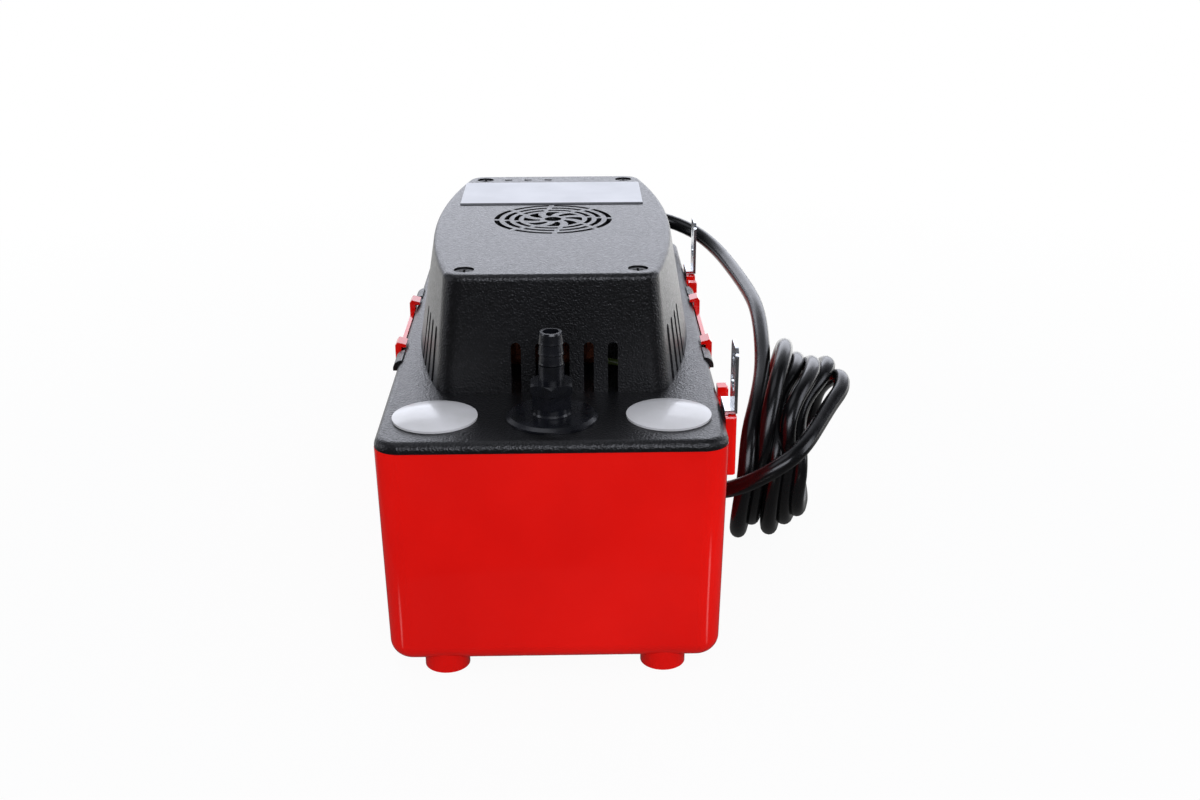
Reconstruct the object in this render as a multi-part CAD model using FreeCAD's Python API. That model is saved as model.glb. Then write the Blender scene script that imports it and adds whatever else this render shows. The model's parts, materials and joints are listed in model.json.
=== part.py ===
import FreeCAD, Part
import math
import os

# Condensate pump in millimetres. The origin is on the floor under the middle of the tank.
# +X is to the right, +Y to the back and +Z up; the inlets and the discharge are at the front.

Vec = FreeCAD.Vector
UP = Vec(0, 0, 1)
BACK = Vec(0, 1, 0)
RIGHT = Vec(1, 0, 0)

# Tank
foot_height = 4.8
foot_radius = 8.5
foot_x = 41.0
foot_y = 127.0
tank_shoulder_z = 91.1
tank_half_x = 63.6
tank_half_y = 139.3
tank_draft_x = 1.6
tank_draft_y = 2.55
tank_corner = 9.0
tank_bottom_edge = 7.0
tank_wall = 3.0
tank_floor = 2.6
rim_half_x = 61.8
rim_half_y = 137.8

# Lid
lid_half_x = 63.5
lid_half_y = 139.5
lid_top = 95.0
lid_plate = 2.4
lid_lip_wall = 1.6
lid_corner = 9.5
lid_edge = 3.0
hood_y = (38.5, 51.5)
hood_start = Vec(61.8, 0, 95.5)
hood_crown = Vec(64.6, 0, 94.3)
hood_reach = 65.5
inlet_x = 43.0
inlet_y = -114.2
inlet_hole_r = 14.0
valve_y = -115.0
valve_hole_r = 12.3
valve_lug_r = 14.4

# Latch hooks and the bar between them, both sides
hook_y = (26.0, 34.0)
hook_reach = 66.4
hook_gap = 0.35
latch_bar_z = (84.0, 93.0)

# Hanger pockets and straps, right side
pocket_reach = 68.0
pocket_z = (72.0, 94.5)
front_pocket_y = (-117.0, -81.0)
rear_pocket_y = (58.0, 92.0)
front_strap_y = -106.0
rear_strap_y = 81.0
strap_width = 15.0
strap_sheet = 1.2
strap_inner_x = 63.8
strap_outer_x = 67.2
strap_top = 120.0
strap_bottom = 74.2
strap_jog_z = 95.1
strap_hole_r = 2.4
strap_hole_z = 114.3
strap_slot_z = 104.8

# Motor cover
cover_top = 141.2
cover_wall = 2.5
cover_base_half_y = 89.0
cover_top_half_y = 87.0
cover_base_end_x = 43.5
cover_base_mid_x = 57.5
cover_top_end_x = 39.5
cover_top_mid_x = 49.6
cover_corner = 8.0
cover_top_edge = 2.4
cover_screw_x = 33.0
cover_screw_y = 78.4
recess_r = 3.9
recess_depth = 2.9
cover_shank_r = 1.75
cover_column_r = 3.3
screw_boss_z = 86.0
front_slot_x = (-13.8, -4.5, 4.7, 14.0, 23.2)
front_slot_top = 115.0
side_slot_y = (76.0, 67.0, 58.0, 49.0)
side_slot_top = 118.0
vent_width = 3.8

# Grille in the cover's top
grille_hub_r = 3.6
grille_swirl_r = (5.6, 9.0, 12.6)
grille_swirl_from = (9.0, -1.7, -15.0)
grille_swirl_to = (23.0, 20.8, 10.5)
grille_rings = ((14.7, 16.7), (18.8, 20.9), (23.1, 25.3))
grille_spokes = 8
grille_spoke_width = 2.1
grille_spoke_start = 2.0
grille_spoke_curl = 0.105

# Motor
stack_z = (105.0, 125.0)
stack_half_x = 30.0
stack_rear = 24.0
stack_front = -60.0
stack_post_x = 25.0
stack_post_y = -53.0
stator_bore_r = 15.1
rotor_r = 14.6
window_half_x = 18.0
window_y = (-46.0, -20.0)
coil_depth = 8.0
bobbin_sheet = 1.2
shaft_r = 2.5
bushing_bore_r = 2.55
bushing_r = 5.5
motor_bolt_x = 25.5
motor_bolt_r = 2.0
lower_bracket_z = (98.0, 100.0)
upper_bracket_z = (130.0, 132.0)
bracket_half_x = 29.5
bracket_leg_x = 21.5
fan_r = 21.3

# Pump
column_r = 13.0
column_bore_r = 10.5
volute_r = 26.5
volute_bore_r = 23.5
volute_z = (12.5, 27.0)
outlet_x = 17.5
outlet_z = 19.0
discharge_r = 6.0
discharge_bore_r = 4.0
impeller_r = 20.0
column_screws_xy = ((-12.0, -12.0), (12.0, -12.0), (-12.0, 12.0), (12.0, 12.0))

# Float and switches
rod_y = 66.0
rod_r = 1.5
float_z = (22.0, 42.0)
pivot_y = 38.0
pivot_z = 116.0
pin_r = 1.5
lever_sheet = 1.2
lever_under = 0.2
switch_x = 7.85
switch_half_x = 5.15
switch_y = (27.1, 54.9)
switch_top = 112.4
plunger_y = 34.0
plunger_r = 1.5
bracket_screw_r = 1.6
bracket_screws_xy = ((-15.5, 57.0), (15.5, 57.0), (-15.5, 23.5), (15.5, 23.5))

# Cord
cord_r = 3.5
gland_neck_r = 6.0
gland_x = 30.0
gland_z = 113.0
gland_end_y = 106.0
hank_turns = 4.8
hank_middle = Vec(87.6, -19.0, 46.9)
hank_step = Vec(6.8, 0.3, -0.8)
hank_radius = 43.9
hank_radius_step = -2.4
hank_yaw = 0.2
hank_lean = 0.167
lead_route = (
    (30.0, 85.0, 113.0), (30.0, 110.0, 113.0), (39.0, 127.0, 111.5), (58.0, 135.0, 108.0),
    (76.0, 127.0, 102.5), (86.0, 108.0, 97.5), (91.0, 82.0, 94.5), (94.0, 55.0, 92.6),
    (95.0, 30.0, 91.0), (93.5, 6.0, 85.0), (90.7, -16.0, 77.7), (86.3, -37.0, 71.9),
    (80.8, -53.0, 62.3))
tail_route = (
    (118.8, -37.5, 65.4), (111.9, -49.4, 62.3), (104.4, -61.9, 59.4), (97.0, -69.5, 56.5),
    (88.9, -72.8, 53.3), (80.3, -72.1, 49.3), (73.0, -67.9, 45.4), (68.3, -60.5, 41.0),
    (66.7, -49.0, 35.7), (66.7, -32.0, 28.0), (68.0, -10.0, 19.0), (71.0, 12.0, 10.0),
    (75.0, 35.0, 4.3), (77.5, 62.0, 3.7), (77.5, 90.0, 3.7), (74.0, 116.0, 3.7),
    (64.0, 137.0, 3.7), (47.0, 150.0, 3.7), (30.0, 155.0, 4.8), (16.0, 156.0, 8.0), (4.0, 156.0, 9.4))
plug_length = 30.0

# Insulated wires inside the motor cover: coil to switch, then coil to the cord's end twice
wire_r = 1.2
wire_routes = (
    ((24.0, -46.0, 128.0), (34.0, -30.0, 128.5), (40.0, 0.0, 127.0), (38.0, 34.0, 118.0),
     (24.0, 52.0, 108.0), (14.0, 64.5, 105.3), (8.5, 62.8, 104.9)),
    ((23.0, -42.0, 103.2), (36.0, -34.0, 101.0), (41.5, 0.0, 100.0), (37.0, 40.0, 101.0),
     (30.5, 60.0, 108.0), (28.2, 75.0, 113.6), (28.6, 84.9, 114.4)),
    ((19.5, -66.0, 100.0), (30.0, -68.0, 98.5), (38.0, -50.0, 98.0), (46.0, -10.0, 98.0),
     (43.0, 36.0, 99.0), (31.0, 62.0, 103.5), (28.2, 75.0, 110.4), (28.6, 84.9, 111.6)))


def block(x0, x1, y0, y1, z0, z1):
    return Part.makeBox(x1 - x0, y1 - y0, z1 - z0, Vec(x0, y0, z0))


def post(radius, z0, z1, x=0.0, y=0.0):
    return Part.makeCylinder(radius, z1 - z0, Vec(x, y, z0), UP)


def ring(outer, inner, z0, z1, x=0.0, y=0.0):
    return post(outer, z0, z1, x, y).cut(post(inner, z0 - 1, z1 + 1, x, y))


def bar_x(radius, x0, x1, y, z):
    return Part.makeCylinder(radius, x1 - x0, Vec(x0, y, z), RIGHT)


def bar_y(radius, y0, y1, x, z):
    return Part.makeCylinder(radius, y1 - y0, Vec(x, y0, z), BACK)


def polygon_face(points):
    return Part.Face(Part.makePolygon(list(points) + [points[0]]))


def turned(profile, x=0.0, y=0.0):
    """Revolve a closed (radius, height) outline about an upright axis."""
    face = polygon_face([Vec(x + r, y, z) for r, z in profile])
    return face.revolve(Vec(x, y, 0), UP, 360)


def drawn_along_y(profile, y0, y1):
    """Extrude a closed (x, z) outline along Y."""
    face = polygon_face([Vec(x, y0, z) for x, z in profile])
    return face.extrude(Vec(0, y1 - y0, 0))


def hexagon(across_flats, z0, z1, x, y):
    """Upright hexagonal bar with two flats across X."""
    corner = across_flats / math.sqrt(3)
    points = []
    for k in range(6):
        turn = math.radians(60 * k + 30)
        points.append(Vec(x + corner * math.cos(turn), y + corner * math.sin(turn), z0))
    return polygon_face(points).extrude(Vec(0, 0, z1 - z0))


def mirrored(shape):
    return shape.mirror(Vec(0, 0, 0), RIGHT)


def both_sides(shape):
    return shape.fuse(mirrored(shape))


def rounded_plan(half_x, half_y, corner, z):
    """Closed wire of a rectangle with round corners."""
    edges = []
    inner_x = half_x - corner
    inner_y = half_y - corner
    for quarter, (across, along) in enumerate(((1, 1), (-1, 1), (-1, -1), (1, -1))):
        cx = inner_x * across
        cy = inner_y * along
        start = 90 * quarter
        points = []
        for angle in (start, start + 45, start + 90):
            a = math.radians(angle)
            points.append(Vec(cx + corner * math.cos(a), cy + corner * math.sin(a), z))
        if edges:
            edges.append(Part.LineSegment(edges[-1].EndPoint, points[0]))
        edges.append(Part.Arc(*points))
    edges.append(Part.LineSegment(edges[-1].EndPoint, edges[0].StartPoint))
    return Part.Wire([edge.toShape() for edge in edges])


def rounded_slab(half_x, half_y, corner, z0, z1):
    return Part.Face(rounded_plan(half_x, half_y, corner, z0)).extrude(Vec(0, 0, z1 - z0))


def annular_sector(r0, r1, from_deg, to_deg, z0, z1, x=0.0, y=0.0):
    """Piece of a ring between two angles."""
    def at(radius, degrees):
        a = math.radians(degrees)
        return Vec(x + radius * math.cos(a), y + radius * math.sin(a), z0)
    mid = (from_deg + to_deg) / 2
    edges = [
        Part.Arc(at(r1, from_deg), at(r1, mid), at(r1, to_deg)).toShape(),
        Part.LineSegment(at(r1, to_deg), at(r0, to_deg)).toShape(),
        Part.Arc(at(r0, to_deg), at(r0, mid), at(r0, from_deg)).toShape(),
        Part.LineSegment(at(r0, from_deg), at(r1, from_deg)).toShape()]
    return Part.Face(Part.Wire(edges)).extrude(Vec(0, 0, z1 - z0))


def rounded_route(points):
    """Straight runs joined by tangent arcs, each as large as its two runs allow."""
    corners = [Vec(*p) for p in points]
    edges = []
    radii = []
    cursor = corners[0]
    for k in range(1, len(corners) - 1):
        into = corners[k] - corners[k - 1]
        out = corners[k + 1] - corners[k]
        turn = into.getAngle(out)
        reach = 0.45 * min(into.Length, out.Length)
        radius = reach / math.tan(turn / 2)
        into.normalize()
        out.normalize()
        start = corners[k] - into * reach
        end = corners[k] + out * reach
        inward = out - into
        inward.normalize()
        centre = corners[k] + inward * (radius / math.cos(turn / 2))
        middle = centre - inward * radius
        edges.append(Part.LineSegment(cursor, start).toShape())
        edges.append(Part.Arc(start, middle, end).toShape())
        radii.append(radius)
        cursor = end
    edges.append(Part.LineSegment(cursor, corners[-1]).toShape())
    return Part.Wire(edges), radii


def round_tube(points, radius):
    """Round rod along a route of runs and arcs."""
    path, radii = rounded_route(points)
    along = Vec(*points[1]) - Vec(*points[0])
    section = Part.Wire(Part.makeCircle(radius, Vec(*points[0]), along))
    return path.makePipeShell([section], True, False), path.Length, radii


def draft_half_x(z):
    return tank_half_x - tank_draft_x * (tank_shoulder_z - z) / (tank_shoulder_z - foot_height)


# Tank: drafted shell with a stepped rim, feet, latch hooks and hanger pockets
def tank_shell_form(inset, z0, bottom_edge):
    low_x = draft_half_x(z0) - inset
    low_y = tank_half_y - tank_draft_y - inset
    low = rounded_plan(low_x, low_y, tank_corner - inset, z0)
    high = rounded_plan(tank_half_x - inset, tank_half_y - inset, tank_corner - inset, tank_shoulder_z)
    form = Part.makeLoft([low, high], True, True)
    bottom = [edge for edge in form.Edges if edge.BoundBox.ZMax < z0 + 0.01]
    return form.makeFillet(bottom_edge, bottom)


def latch_hooks():
    wall_x = draft_half_x(latch_bar_z[0]) - 1.2
    finger_x = lid_half_x + hook_gap
    nib_x = lid_half_x - 1.7
    over = lid_top + 0.15
    root_z = 88.5
    crest_x = 65.4
    hook = [(wall_x, 80), (65.0, 80), (hook_reach, 87), (hook_reach, over + 0.9), (crest_x, over + 2.2),
            (nib_x, over + 1.2), (nib_x, over), (finger_x, over), (finger_x, root_z), (wall_x, root_z)]
    bar = [(wall_x, latch_bar_z[0]), (crest_x, latch_bar_z[0]), (crest_x, latch_bar_z[1]),
           (finger_x, latch_bar_z[1]), (finger_x, root_z), (wall_x, root_z)]
    side = drawn_along_y(bar, -hook_y[0] - 1, hook_y[0] + 1)
    side = side.fuse(drawn_along_y(hook, hook_y[0], hook_y[1]))
    side = side.fuse(drawn_along_y(hook, -hook_y[1], -hook_y[0]))
    return both_sides(side)


def hanger_pocket(span_y, strap_y, block_y, step_y):
    wall_x = draft_half_x(pocket_z[0]) - 1.2
    shoulder_x = lid_half_x + hook_gap
    box = block(wall_x, pocket_reach, span_y[0], span_y[1], pocket_z[0], pocket_z[1])
    outer_edges = [e for e in box.Edges if e.BoundBox.XMin > pocket_reach - 0.01 and e.BoundBox.ZLength > 1]
    box = box.makeFillet(1.6, outer_edges)
    box = box.cut(block(wall_x - 1, shoulder_x, span_y[0] - 1, span_y[1] + 1, tank_shoulder_z - 0.4, 99))
    box = box.cut(block(shoulder_x - 1, 70, step_y[0], step_y[1], 91.5, 99))
    slot = block(strap_inner_x - 0.2, strap_inner_x + strap_sheet + 0.2, strap_y - strap_width / 2 - 0.4,
                 strap_y + strap_width / 2 + 0.4, strap_bottom - 0.2, 99)
    box = box.cut(slot)
    catch = block(shoulder_x, pocket_reach - 0.6, block_y[0], block_y[1], 80, 95.2)
    return box.fuse(catch)


def make_tank():
    tank = tank_shell_form(0.0, foot_height, tank_bottom_edge)
    tank = tank.fuse(rounded_slab(rim_half_x, rim_half_y, tank_corner - 1.1, tank_shoulder_z - 1,
                                  lid_top - lid_plate))
    for x in (-foot_x, foot_x):
        for y in (-foot_y, foot_y):
            foot = post(foot_radius, 0, 14, x, y)
            tank = tank.fuse(foot)
    tank = tank.fuse(latch_hooks())
    tank = tank.fuse(hanger_pocket(front_pocket_y, front_strap_y, (-85.7, -80.5), (-96.5, -85.7)))
    tank = tank.fuse(hanger_pocket(rear_pocket_y, rear_strap_y, (57.5, 61.5), (61.5, 71.0)))
    cavity = tank_shell_form(tank_wall, foot_height + tank_floor, tank_bottom_edge - tank_wall)
    mouth = rounded_slab(tank_half_x - tank_wall, tank_half_y - tank_wall, tank_corner - tank_wall,
                         tank_shoulder_z - 0.01, lid_top)
    return tank.cut(cavity.fuse(mouth))


def cover_screw_spots():
    return [(x, y) for x in (-cover_screw_x, cover_screw_x) for y in (-cover_screw_y, cover_screw_y)]


# Lid: plate, lip, hoods, inlet collars, motor bosses and screw bosses
def make_lid():
    lid = rounded_slab(lid_half_x, lid_half_y, lid_corner, tank_shoulder_z, lid_top)
    upper = [e for e in lid.Edges if e.BoundBox.ZMin > lid_top - 0.01]
    lid = lid.makeFillet(lid_edge, upper)
    hollow = rounded_slab(lid_half_x - lid_lip_wall, lid_half_y - lid_lip_wall, lid_corner - lid_lip_wall,
                          tank_shoulder_z - 1, lid_top - lid_plate)
    lid = lid.cut(hollow)
    hood_end = Vec(hood_reach, 0, tank_shoulder_z)
    hood_arc = Part.Arc(hood_start, hood_crown, hood_end).toShape()
    hood_foot = Part.makePolygon([hood_end, Vec(62.6, 0, tank_shoulder_z), Vec(62.6, 0, 93.5),
                                  Vec(hood_start.x, 0, 93.5), hood_start])
    hood_face = Part.Face(Part.Wire([hood_arc] + hood_foot.Edges))
    for y0 in (hood_y[0], -hood_y[1]):
        hood = hood_face.extrude(Vec(0, hood_y[1] - hood_y[0], 0))
        hood.translate(Vec(0, y0, 0))
        lid = lid.fuse(both_sides(hood))
    for x in (-inlet_x, inlet_x):
        lid = lid.fuse(post(inlet_hole_r + 2, 85, lid_top - 1, x, inlet_y))
        lid = lid.cut(post(inlet_hole_r, 80, 100, x, inlet_y))
    lid = lid.cut(post(valve_hole_r, 80, 100, 0, valve_y))
    for start in (45, 225):
        lid = lid.cut(annular_sector(8, valve_lug_r + 0.4, start - 14, start + 14, 80, 100, 0, valve_y))
    for x in (-motor_bolt_x, motor_bolt_x):
        lid = lid.fuse(post(5, lid_top - 1, lower_bracket_z[0], x, 0))
        lid = lid.cut(post(motor_bolt_r, 88, 99, x, 0))
    for x in (-stack_post_x, stack_post_x):
        lid = lid.fuse(post(4, lid_top - 1, stack_z[0], x, stack_post_y))
    for x, y in cover_screw_spots():
        lid = lid.fuse(post(cover_column_r, screw_boss_z, lid_top - 1, x, y))
        lid = lid.cut(post(cover_shank_r, screw_boss_z + 1, 100, x, y))
    lid = lid.cut(post(6, 80, 100))
    lid = lid.cut(post(rod_r + 0.35, 80, 100, 0, rod_y))
    for x, y in bracket_screws_xy:
        lid = lid.fuse(post(3, screw_boss_z, lid_top - 1, x, y))
        lid = lid.cut(post(bracket_screw_r, screw_boss_z + 1.5, 100, x, y))
    for x, y in column_screws_xy:
        lid = lid.cut(post(bracket_screw_r, 80, 100, x, y))
    return lid


# Motor cover: barrel-sided hood with vents, grille and screw recesses
def barrel_plan(half_y, end_x, mid_x, z):
    side = Part.Arc(Vec(end_x, -half_y, z), Vec(mid_x, 0, z), Vec(end_x, half_y, z)).toShape()
    rear = Part.LineSegment(Vec(end_x, half_y, z), Vec(-end_x, half_y, z)).toShape()
    other = Part.Arc(Vec(-end_x, half_y, z), Vec(-mid_x, 0, z), Vec(-end_x, -half_y, z)).toShape()
    front = Part.LineSegment(Vec(-end_x, -half_y, z), Vec(end_x, -half_y, z)).toShape()
    return Part.Wire([side, rear, other, front])


def hood_form(inset, z0, z1, corner, top_edge):
    low = barrel_plan(cover_base_half_y - inset, cover_base_end_x - inset, cover_base_mid_x - inset, z0)
    high = barrel_plan(cover_top_half_y - inset, cover_top_end_x - inset, cover_top_mid_x - inset, z1)
    form = Part.makeLoft([low, high], True, True)
    uprights = [e for e in form.Edges if e.BoundBox.ZLength > (z1 - z0) * 0.9]
    form = form.makeFillet(corner, uprights)
    rim = [e for e in form.Edges if e.BoundBox.ZMin > z1 - 0.01]
    return form.makeFillet(top_edge, rim)


def vent(width, depth, top, along):
    """Round-topped slot that starts at the lid; it runs along the given direction."""
    half = width / 2
    side = UP.cross(along)
    base = lid_top - 1
    spring_line = top - half
    points = [side * half + UP * base, side * half + UP * spring_line,
              UP * top, side * -half + UP * spring_line, side * -half + UP * base]
    edges = [Part.LineSegment(points[0], points[1]), Part.Arc(*points[1:4]),
             Part.LineSegment(points[3], points[4]), Part.LineSegment(points[4], points[0])]
    return Part.Face(Part.Wire([edge.toShape() for edge in edges])).extrude(along * depth)


def swirl_opening(z0, z1, start):
    """Curved opening between two blades of the grille's centre."""
    def at(radius, degrees):
        a = math.radians(start + degrees)
        return Vec(radius * math.cos(a), radius * math.sin(a), z0)
    spots = list(zip(grille_swirl_r, grille_swirl_from, grille_swirl_to))
    near = [at(radius, first) for radius, first, last in spots]
    far = [at(radius, last) for radius, first, last in spots]
    inmost, outmost = [at(radius, (first + last) / 2) for radius, first, last in (spots[0], spots[-1])]
    edges = [Part.Arc(*near), Part.Arc(near[-1], outmost, far[-1]), Part.Arc(*reversed(far)),
             Part.Arc(far[0], inmost, near[0])]
    return Part.Face(Part.Wire([edge.toShape() for edge in edges])).extrude(Vec(0, 0, z1 - z0))


def grille_cuts():
    z0 = cover_top - cover_wall - 3
    z1 = cover_top + 1
    pitch = 360 / grille_spokes
    cuts = [post(grille_hub_r, z0, z1)]
    for k in range(grille_spokes):
        cuts.append(swirl_opening(z0, z1, k * pitch))
        for r0, r1 in grille_rings:
            middle_r = (r0 + r1) / 2
            half_spoke = math.degrees(grille_spoke_width / 2 / middle_r)
            curl = grille_spoke_curl * (grille_rings[-1][1] - middle_r) ** 2
            start = k * pitch + grille_spoke_start + curl
            cuts.append(annular_sector(r0, r1, start + half_spoke, start + pitch - half_spoke, z0, z1))
    return Part.makeCompound(cuts)


def make_motor_cover():
    cover = hood_form(0.0, lid_top, cover_top, cover_corner, cover_top_edge)
    hollow = hood_form(cover_wall, lid_top, cover_top - cover_wall, cover_corner - cover_wall, 1.0)
    cover = cover.cut(hollow)
    for x in front_slot_x:
        slot = vent(vent_width, 12, front_slot_top, BACK)
        slot.translate(Vec(x, -cover_base_half_y - 3, 0))
        cover = cover.cut(slot)
    for y in side_slot_y:
        for end in (-1, 1):
            slot = vent(vent_width, 120, side_slot_top, RIGHT)
            slot.translate(Vec(-60, end * y, 0))
            cover = cover.cut(slot)
    floor_z = cover_top - recess_depth
    inside = hood_form(0.2, lid_top, cover_top, cover_corner, cover_top_edge)
    for x, y in cover_screw_spots():
        cup = post(recess_r + 1.4, floor_z - cover_wall, cover_top - 1.5, x, y)
        column = post(cover_column_r, lid_top, floor_z, x, y)
        y0, y1 = sorted((y, math.copysign(cover_base_half_y, y)))
        rib = block(x - 0.8, x + 0.8, y0, y1, lid_top, lid_top + 9)
        cover = cover.fuse(cup.fuse(column).fuse(rib).common(inside))
        cover = cover.cut(post(recess_r, floor_z, cover_top + 1, x, y))
        cover = cover.cut(post(cover_shank_r, lid_top - 1, cover_top, x, y))
    cover = cover.cut(grille_cuts())
    return cover.cut(bar_y(gland_neck_r, cover_base_half_y - 8, cover_base_half_y + 3, gland_x, gland_z))


# Check valve: bayonet body, barb, ball, spring and O-ring, on one axis
def cut_at_valve(radius, z0, z1):
    return post(radius, z0, z1, 0, valve_y)


def make_valve_body():
    outline = [(0, 74), (7.9, 74), (8.9, 75), (8.9, 77.9), (7.0, 77.9), (7.0, 80.5), (8.9, 80.5), (8.9, 89.5),
               (12.0, 89.5), (12.0, 95.1), (17.0, 95.1), (17.0, 95.9), (15.6, 96.9), (7.4, 97.3), (6.9, 98.0),
               (6.9, 100.0), (0, 100.0)]
    body = turned(outline, 0, valve_y)
    body = body.fuse(hexagon(14.0, 100.0, 105.5, 0, valve_y))
    for start in (0, 180):
        body = body.fuse(annular_sector(11, valve_lug_r, start - 12, start + 12, 89.6, 92.3, 0, valve_y))
    body = body.cut(cut_at_valve(2.4, 70, 82))
    body = body.cut(cut_at_valve(4.2, 81.7, 97))
    return body.cut(cut_at_valve(4.0, 97, 110))


def make_valve_barb():
    outline = [(2.4, 97.0), (4.0, 97.0), (4.0, 105.5), (6.5, 105.5), (6.5, 109.5), (4.75, 109.5), (4.75, 116.0)]
    barb_pitch = 3.9
    for k in range(3):
        low = 116.0 + k * barb_pitch
        outline += [(4.3, low), (4.75, low + 0.4), (4.62, low + 1.1)]
    outline += [(4.3, 127.7), (4.0, 128.3), (3.0, 128.3), (3.0, 98.5), (2.4, 98.5)]
    barb = turned(outline, 0, valve_y)
    nut = hexagon(15.2, 105.5, 109.5, 0, valve_y)
    chamfer = turned([(0, 105.5), (8.2, 105.5), (8.9, 106.2), (8.9, 108.4), (7.7, 109.5), (0, 109.5)], 0, valve_y)
    nut = nut.common(chamfer).cut(cut_at_valve(3.0, 105, 110))
    return barb.fuse(nut)


def make_valve_spring():
    turns = 4
    wire_r = 0.35
    height = 8.8
    coil = Part.makeHelix(height / turns, height, 2.6)
    coil.translate(Vec(0, valve_y, 87.8))
    start = Vec(2.6, valve_y, 87.8)
    section = Part.Wire(Part.makeCircle(wire_r, start, Vec(0, 1, height / turns / (2 * math.pi * 2.6))))
    return coil.makePipeShell([section], True, True)


def make_valve_seal():
    return Part.makeTorus(8.15, 1.1, Vec(0, valve_y, 79.2), UP)


def make_inlet_plug(x):
    skirt_r = 13.7
    edge = Vec(x + 15.7, inlet_y, 95.9)
    top = Vec(x, inlet_y, 97.9)
    dome_r = (15.7 ** 2 + 2.0 ** 2) / (2 * 2.0)
    half = math.asin(15.7 / dome_r) / 2
    middle = Vec(x + dome_r * math.sin(half), inlet_y, top.z - dome_r * (1 - math.cos(half)))
    crown = Part.Arc(edge, middle, top).toShape()
    rest = Part.makePolygon([
        Vec(x, inlet_y, 97.9), Vec(x, inlet_y, 96.2), Vec(x + 12.3, inlet_y, 94.6), Vec(x + 12.3, inlet_y, 84.0),
        Vec(x + 13.2, inlet_y, 84.0), Vec(x + skirt_r, inlet_y, 85.5), Vec(x + skirt_r, inlet_y, 95.1),
        Vec(x + 15.7, inlet_y, 95.1), Vec(x + 15.7, inlet_y, 95.9)])
    face = Part.Face(Part.Wire([crown] + rest.Edges))
    return face.revolve(Vec(x, inlet_y, 0), UP, 360)


# Hanger straps: jogged sheet with a round and an oval hole
def make_hanger(centre_y):
    y0 = centre_y - strap_width / 2
    y1 = centre_y + strap_width / 2
    outer = strap_outer_x + strap_sheet
    profile = [(strap_inner_x, strap_bottom), (strap_inner_x + strap_sheet, strap_bottom),
               (strap_inner_x + strap_sheet, strap_jog_z), (outer, strap_jog_z), (outer, strap_top),
               (strap_outer_x, strap_top), (strap_outer_x, strap_jog_z + strap_sheet),
               (strap_inner_x, strap_jog_z + strap_sheet)]
    strap = drawn_along_y(profile, y0, y1)
    corners = [e for e in strap.Edges if e.BoundBox.ZMin > strap_top - 0.01 and e.BoundBox.XLength > 0.5]
    strap = strap.makeFillet(3.5, corners)
    hole = bar_x(strap_hole_r, 60, 72, centre_y, strap_hole_z)
    oval = block(60, 72, centre_y - 2.6, centre_y + 2.6, strap_slot_z - strap_hole_r, strap_slot_z + strap_hole_r)
    for end in (-2.6, 2.6):
        oval = oval.fuse(bar_x(strap_hole_r, 60, 72, centre_y + end, strap_slot_z))
    return strap.cut(hole).cut(oval)


# Motor: C-frame stack with the coil on its front limb
def make_stator_core():
    core = block(-stack_half_x, stack_half_x, stack_front, stack_rear, stack_z[0], stack_z[1])
    corners = [e for e in core.Edges if e.BoundBox.ZLength > 1]
    core = core.makeFillet(3, corners)
    core = core.cut(block(-window_half_x, window_half_x, window_y[0], window_y[1], 100, 130))
    core = core.cut(post(stator_bore_r, 100, 130))
    for x in (-motor_bolt_x, motor_bolt_x):
        core = core.cut(post(motor_bolt_r, 100, 130, x, 0))
    for x in (-1, 1):
        core = core.cut(block(x * 12 - 0.9, x * 12 + 0.9, -15.5, -9.6, 100, 130))
        core = core.cut(block(x * 12 - 0.9, x * 12 + 0.9, 9.6, 15.5, 100, 130))
    return core


def make_shading_rings():
    """Copper straps that lie in the stator's pole slots, one pair on each side."""
    rings = []
    for x in (-1, 1):
        for y0, y1 in ((-15.5, -9.6), (9.6, 15.5)):
            leg = block(x * 12 - 0.9, x * 12 + 0.9, y0 + 2.2 if y0 < 0 else y0, y1 if y0 < 0 else y1 - 2.2,
                        stack_z[0] - 1.5, stack_z[1] + 1.5)
            rings.append(leg)
    return Part.makeCompound(rings)


def make_bobbin():
    limb = (stack_front, window_y[0], stack_z[0], stack_z[1])
    def frame(x0, x1, grow):
        outer = block(x0, x1, limb[0] - grow, limb[1] + grow, limb[2] - grow, limb[3] + grow)
        return outer.cut(block(x0 - 1, x1 + 1, limb[0], limb[1], limb[2], limb[3]))
    bobbin = frame(-window_half_x, window_half_x, bobbin_sheet)
    for x0 in (-window_half_x, window_half_x - bobbin_sheet):
        bobbin = bobbin.fuse(frame(x0, x0 + bobbin_sheet, coil_depth))
    return bobbin


def make_coil_winding():
    half = window_half_x - bobbin_sheet
    grow = coil_depth - 0.8
    inner = block(-half - 1, half + 1, stack_front - bobbin_sheet, window_y[0] + bobbin_sheet,
                  stack_z[0] - bobbin_sheet, stack_z[1] + bobbin_sheet)
    outer = block(-half, half, stack_front - grow, window_y[0] + grow, stack_z[0] - grow, stack_z[1] + grow)
    long_edges = [e for e in outer.Edges if e.BoundBox.XLength > 10]
    return outer.makeFillet(4, long_edges).cut(inner)


def make_bracket(plate_z, legs_z, hub_z):
    bridge = block(-bracket_half_x, bracket_half_x, -11, 11, plate_z[0], plate_z[1])
    for side in (-1, 1):
        x0, x1 = sorted((side * bracket_leg_x, side * bracket_half_x))
        bridge = bridge.fuse(block(x0, x1, -9, 9, legs_z[0], legs_z[1]))
        bridge = bridge.cut(post(motor_bolt_r, 90, 140, side * motor_bolt_x, 0))
    bridge = bridge.fuse(post(8, hub_z[0], hub_z[1]))
    for side in (-1, 1):
        for end in (-1, 1):
            bridge = bridge.cut(post(2.6, 90, 140, side * 13.2, end * 6.5))
    return bridge.cut(post(bushing_r, 90, 140))


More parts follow.
